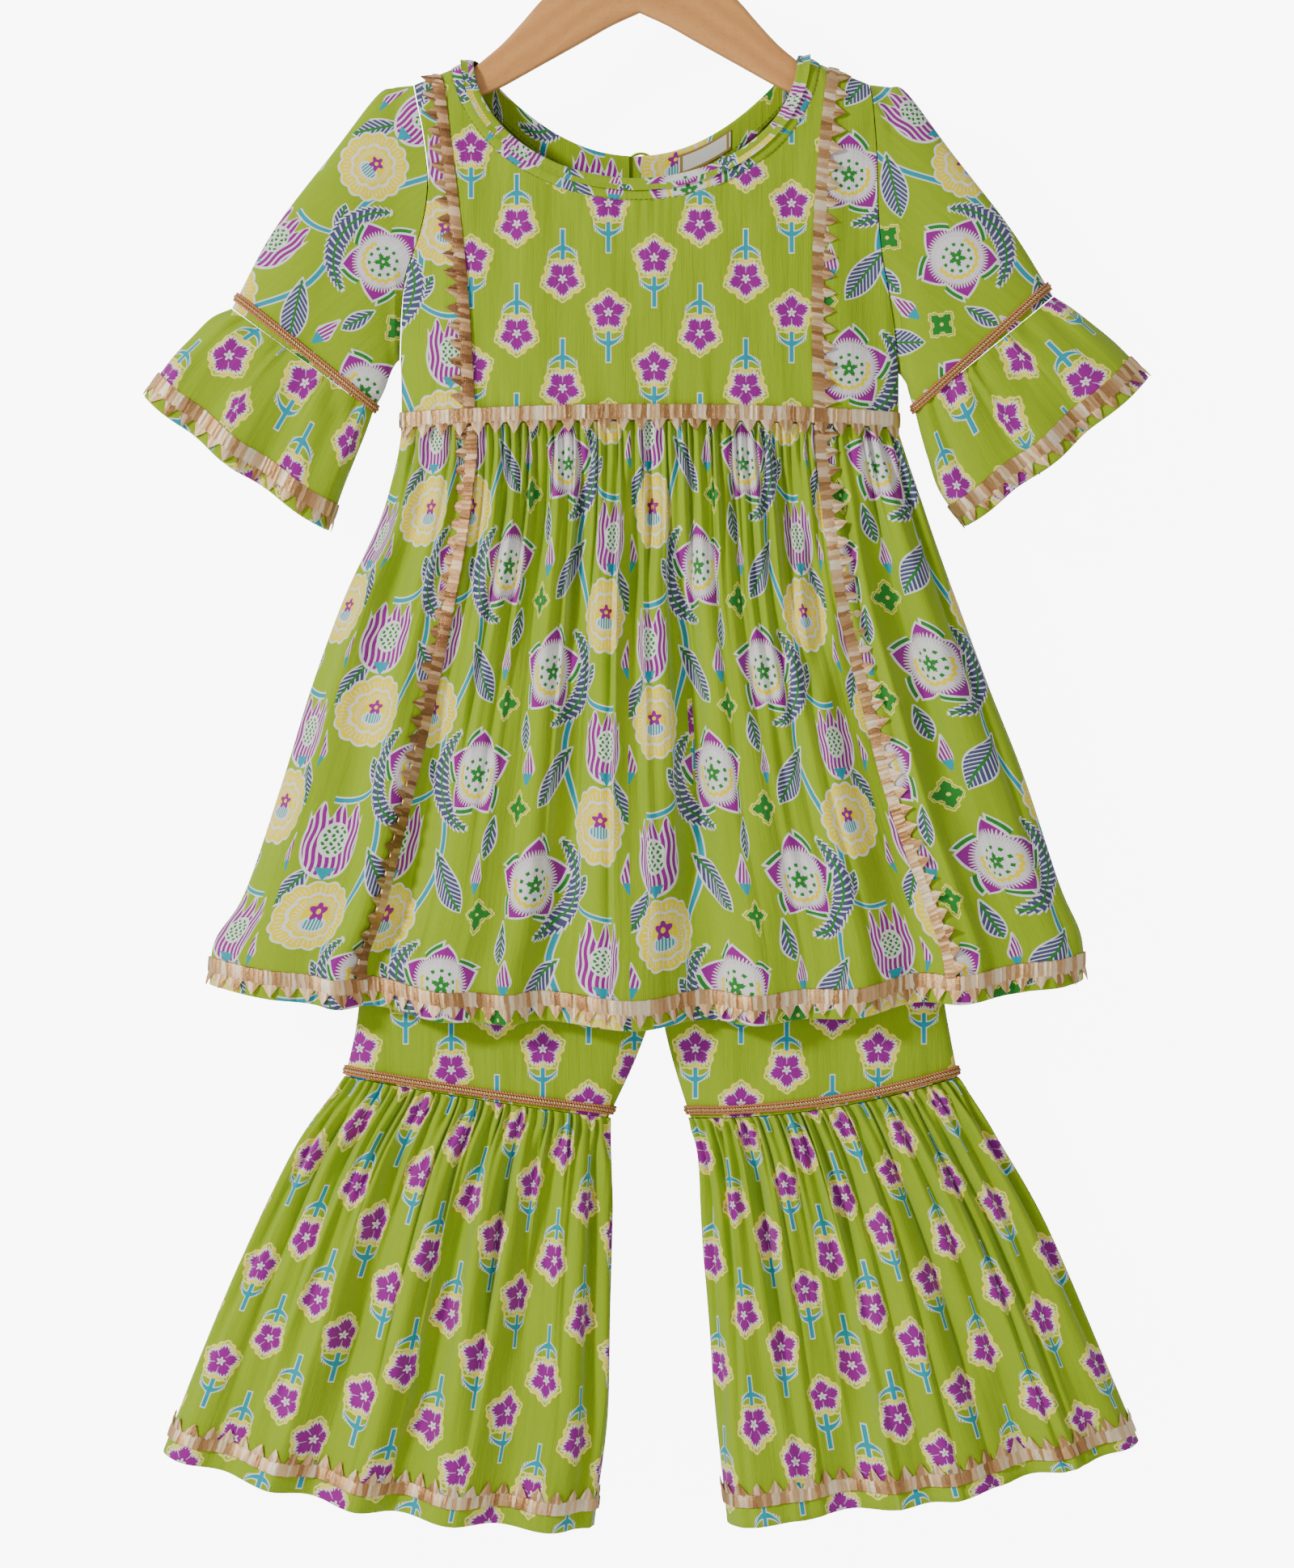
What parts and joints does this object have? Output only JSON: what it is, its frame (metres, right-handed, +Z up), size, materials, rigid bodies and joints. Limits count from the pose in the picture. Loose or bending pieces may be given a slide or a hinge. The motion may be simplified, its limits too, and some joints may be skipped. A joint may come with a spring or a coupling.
{
  "type": "gharara suit on a hanger",
  "caption": "Child's gharara suit on a wooden hanger: short-sleeved kurta with a gathered skirt and ruffled cuffs, over wide trousers that flare from the knee, edged with gold lace.",
  "frame": {"origin": "inside top of the hanger's hook, where the rail touches it", "axes": "+Z up, +X to the right of someone who faces the front of the suit, +Y from the front to the back"},
  "size_m": [0.5398, 0.0747, 0.9183],
  "materials": {
    "printed_cotton": "matt printed cotton, lime green with flowers",
    "gold_ribbon": "crinkled metallic ribbon",
    "beech": "clear varnish",
    "steel": "bright plated wire",
    "tape": "woven tape",
    "button_shell": "cloth-coloured"
  },
  "bodies": {
    "root": {"back_button": "button_shell", "back_facing_left": "printed_cotton", "back_facing_right": "printed_cotton", "bodice_back": "printed_cotton", "bodice_front_centre": "printed_cotton", "bodice_front_side_left": "printed_cotton", "bodice_front_side_right": "printed_cotton", "bodice_lace_left": "gold_ribbon", "bodice_lace_right": "gold_ribbon", "flare_back_left": "printed_cotton", "flare_back_right": "printed_cotton", "flare_front_left": "printed_cotton", "flare_front_right": "printed_cotton", "hanger_arms": "beech", "hanger_hook": "steel", "hanger_loop_left": "tape", "hanger_loop_right": "tape", "hem_lace_back": "gold_ribbon", "hem_lace_front": "gold_ribbon", "knee_piping_left": "gold_ribbon", "knee_piping_right": "gold_ribbon", "leg_lace_back_left": "gold_ribbon", "leg_lace_back_right": "gold_ribbon", "leg_lace_front_left": "gold_ribbon", "leg_lace_front_right": "gold_ribbon", "neck_band_front": "printed_cotton", "neck_label": "tape", "skirt_back": "printed_cotton", "skirt_front_centre": "printed_cotton", "skirt_front_side_left": "printed_cotton", "skirt_front_side_right": "printed_cotton", "skirt_lace_left": "gold_ribbon", "skirt_lace_right": "gold_ribbon", "sleeve_lace_left": "gold_ribbon", "sleeve_lace_right": "gold_ribbon", "sleeve_left": "printed_cotton", "sleeve_piping_left": "gold_ribbon", "sleeve_piping_right": "gold_ribbon", "sleeve_right": "printed_cotton", "sleeve_ruffle_left": "printed_cotton", "sleeve_ruffle_right": "printed_cotton", "thigh_back_left": "printed_cotton", "thigh_back_right": "printed_cotton", "thigh_front_left": "printed_cotton", "thigh_front_right": "printed_cotton", "waist_lace": "gold_ribbon", "waistband": "printed_cotton"}
  },
  "joints": []
}
